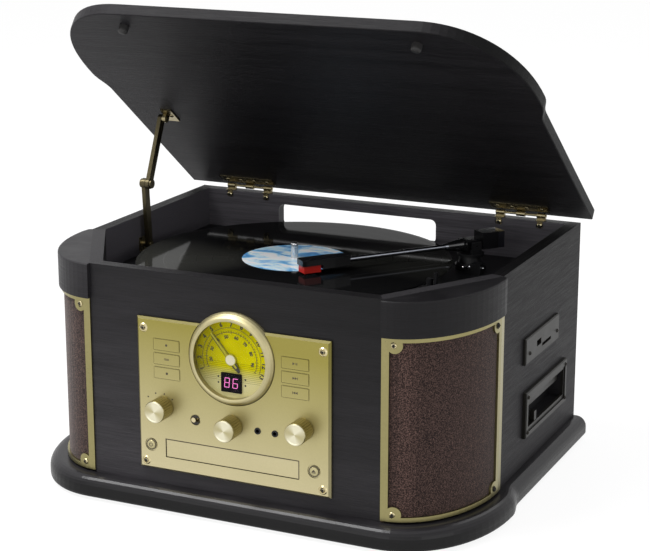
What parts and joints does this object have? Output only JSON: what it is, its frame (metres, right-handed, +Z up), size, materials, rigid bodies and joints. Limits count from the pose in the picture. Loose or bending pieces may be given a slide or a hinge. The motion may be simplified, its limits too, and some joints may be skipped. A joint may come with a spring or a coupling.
{
  "type": "table-top music centre",
  "caption": "Table-top music centre in a wooden cabinet: record deck under a hinged lid, tuner with round dial, disc tray, cassette slot and curved corner speakers.",
  "frame": {"origin": "on the floor, under the middle of the overall width and depth with the lid open", "axes": "+X to the right of the control panel, +Y to the back, +Z up"},
  "size_m": [0.452, 0.3602, 0.4413],
  "materials": {
    "dark_wood": "satin dark stain",
    "board": "raw fibreboard",
    "rubber": "matte",
    "gold_panel": "brushed and lacquered",
    "gold_trim": "metallised",
    "brass": "lacquered",
    "cloth": "flecked weave",
    "driver": "satin",
    "black_plastic": "satin",
    "black_gloss": "gloss",
    "dial": "printed",
    "display": "dark red filter",
    "glass": "clear",
    "circuit": "circuit board",
    "bronze": "satin",
    "vinyl": "grooved",
    "label": "printed paper",
    "steel": "polished",
    "red_plastic": "gloss",
    "mat": "ribbed"
  },
  "bodies": {
    "cabinet": {"rubber_feet": "rubber", "plinth": "dark_wood", "front_panel": "dark_wood", "side_panels": "dark_wood", "back_panel": "dark_wood", "speaker_baffles": "board", "ear_caps": "dark_wood", "grille_frames": "brass", "grille_cloths": "cloth", "speaker_drivers": "driver", "deck_plate": "black_plastic", "spindle_bush": "brass", "motor": "steel", "drive_belt": "rubber", "faceplate": "gold_panel", "screws": "brass", "dial_bezel": "gold_trim", "dial_plate": "dial", "display_window": "display", "dial_glass": "glass", "electronics": "circuit", "sockets": "black_plastic", "cd_mechanism": "driver", "port_plate": "bronze", "cassette_frame": "bronze", "cassette_mechanism": "black_plastic", "tonearm_base": "black_plastic", "wall_hardware": "brass"},
    "lid": {"lid_board": "dark_wood", "lid_hardware": "brass", "lid_bumpers": "rubber"},
    "stay_lower": {"stay_lower_arm": "brass"},
    "stay_upper": {"stay_upper_arm": "brass"},
    "platter": {"platter": "mat", "record": "vinyl", "record_label": "label", "spindle": "steel"},
    "pulley": {"motor_pulley": "brass"},
    "turret": {"tonearm_turret": "black_plastic"},
    "tonearm": {"tonearm": "black_gloss", "headshell": "black_gloss", "cartridge": "red_plastic"},
    "cue_lever": {"cue_lever": "steel"},
    "selector": {"selector_knob": "gold_trim"},
    "tuning": {"tuning_knob": "gold_trim"},
    "volume": {"volume_knob": "gold_trim"},
    "pointer": {"dial_pointer": "steel"},
    "power": {"power_button": "gold_trim"},
    "tray_key": {"tray_button": "gold_trim"},
    "band": {"band_switch": "steel"},
    "speed": {"speed_switch": "steel"},
    "disc_tray": {"cd_tray": "gold_panel"},
    "flap": {"cassette_flap": "bronze"},
    "eject": {"cassette_key": "steel"},
    "key_left_top": {"button_left_top": "gold_panel"},
    "key_left_middle": {"button_left_middle": "gold_panel"},
    "key_left_bottom": {"button_left_bottom": "gold_panel"},
    "key_right_top": {"button_right_top": "gold_panel"},
    "key_right_middle": {"button_right_middle": "gold_panel"},
    "key_right_bottom": {"button_right_bottom": "gold_panel"}
  },
  "joints": [
    {"name": "lid_hinge", "type": "hinge", "parent": "cabinet", "child": "lid", "pos_m": [0, 0.1685, 0.2237], "axis": [-1, 0, 0], "range_deg": [-37, 0]},
    {"name": "stay_lower_pivot", "type": "hinge", "parent": "cabinet", "child": "stay_lower", "pos_m": [-0.186, 0.0251, 0.1904], "axis": [1, 0, 0], "range_deg": [0, 90.02]},
    {"name": "stay_upper_pivot", "type": "hinge", "parent": "lid", "child": "stay_upper", "pos_m": [-0.186, 0.04752, 0.31273], "axis": [1, 0, 0], "range_deg": [-69.74, 0]},
    {"name": "platter_spin", "type": "hinge", "parent": "cabinet", "child": "platter", "pos_m": [-0.026, 0.021, 0.18], "axis": [0, 0, 1], "continuous": true},
    {"name": "pulley_spin", "type": "hinge", "parent": "cabinet", "child": "pulley", "pos_m": [-0.08835, 0.057, 0.18], "axis": [0, 0, 1], "continuous": true},
    {"name": "arm_swing", "type": "hinge", "parent": "cabinet", "child": "turret", "pos_m": [0.1196, 0.1085, 0.193], "axis": [0, 0, 1], "range_deg": [-3, 41.7]},
    {"name": "arm_lift", "type": "hinge", "parent": "turret", "child": "tonearm", "pos_m": [0.1196, 0.1085, 0.204], "axis": [-0.7859, 0.6184, 0], "range_deg": [0, 3]},
    {"name": "cue_lever_pivot", "type": "hinge", "parent": "cabinet", "child": "cue_lever", "pos_m": [0.133, 0.09, 0.186], "axis": [-1, 0, 0], "range_deg": [0, 40.1]},
    {"name": "selector_turn", "type": "hinge", "parent": "cabinet", "child": "selector", "pos_m": [-0.0665, -0.1623, 0.0965], "axis": [0, -1, 0], "range_deg": [-45, 45]},
    {"name": "tuning_turn", "type": "hinge", "parent": "cabinet", "child": "tuning", "pos_m": [0.002, -0.1623, 0.089], "axis": [0, -1, 0], "range_deg": [-700, 380]},
    {"name": "pointer_turn", "type": "hinge", "parent": "cabinet", "child": "pointer", "pos_m": [0.002, -0.1623, 0.1495], "axis": [0, -1, 0], "range_deg": [-175, 95]},
    {"name": "volume_turn", "type": "hinge", "parent": "cabinet", "child": "volume", "pos_m": [0.0705, -0.1623, 0.0965], "axis": [0, -1, 0], "range_deg": [-150, 150]},
    {"name": "press_left_top", "type": "slide", "parent": "cabinet", "child": "key_left_top", "axis": [0, 1, 0], "range_m": [0, 0.001], "stiffness_N_per_m": 500, "springref_m": -0.001},
    {"name": "press_left_middle", "type": "slide", "parent": "cabinet", "child": "key_left_middle", "axis": [0, 1, 0], "range_m": [0, 0.001], "stiffness_N_per_m": 500, "springref_m": -0.001},
    {"name": "press_left_bottom", "type": "slide", "parent": "cabinet", "child": "key_left_bottom", "axis": [0, 1, 0], "range_m": [0, 0.001], "stiffness_N_per_m": 500, "springref_m": -0.001},
    {"name": "press_right_top", "type": "slide", "parent": "cabinet", "child": "key_right_top", "axis": [0, 1, 0], "range_m": [0, 0.001], "stiffness_N_per_m": 500, "springref_m": -0.001},
    {"name": "press_right_middle", "type": "slide", "parent": "cabinet", "child": "key_right_middle", "axis": [0, 1, 0], "range_m": [0, 0.001], "stiffness_N_per_m": 500, "springref_m": -0.001},
    {"name": "press_right_bottom", "type": "slide", "parent": "cabinet", "child": "key_right_bottom", "axis": [0, 1, 0], "range_m": [0, 0.001], "stiffness_N_per_m": 500, "springref_m": -0.001},
    {"name": "power_press", "type": "slide", "parent": "cabinet", "child": "power", "axis": [0, 1, 0], "range_m": [0, 0.002], "stiffness_N_per_m": 400, "springref_m": -0.001},
    {"name": "tray_press", "type": "slide", "parent": "cabinet", "child": "tray_key", "axis": [0, 1, 0], "range_m": [0, 0.0015], "stiffness_N_per_m": 400, "springref_m": -0.001},
    {"name": "band_slide", "type": "slide", "parent": "cabinet", "child": "band", "axis": [1, 0, 0], "range_m": [0, 0.003]},
    {"name": "speed_slide", "type": "slide", "parent": "cabinet", "child": "speed", "axis": [0, 1, 0], "range_m": [0, 0.01]},
    {"name": "tray_slide", "type": "slide", "parent": "cabinet", "child": "disc_tray", "axis": [0, -1, 0], "range_m": [0, 0.145]},
    {"name": "flap_swing", "type": "hinge", "parent": "cabinet", "child": "flap", "pos_m": [0.2045, 0.075, 0.083], "axis": [0, 1, 0], "range_deg": [0, 80], "stiffness_Nm_per_rad": 0.004, "springref_deg": -17.19},
    {"name": "eject_press", "type": "slide", "parent": "cabinet", "child": "eject", "axis": [-1, 0, 0], "range_m": [0, 0.004], "stiffness_N_per_m": 400, "springref_m": -0.001}
  ],
  "couplings": [
    {"joint": "stay_lower_pivot", "follows": "lid_hinge", "ratio": -2.4303},
    {"joint": "stay_upper_pivot", "follows": "lid_hinge", "ratio": 1.8821},
    {"joint": "pulley_spin", "follows": "platter_spin", "ratio": 9.0909},
    {"joint": "cue_lever_pivot", "follows": "arm_lift", "ratio": 13.333},
    {"joint": "pointer_turn", "follows": "tuning_turn", "ratio": 0.25}
  ]
}
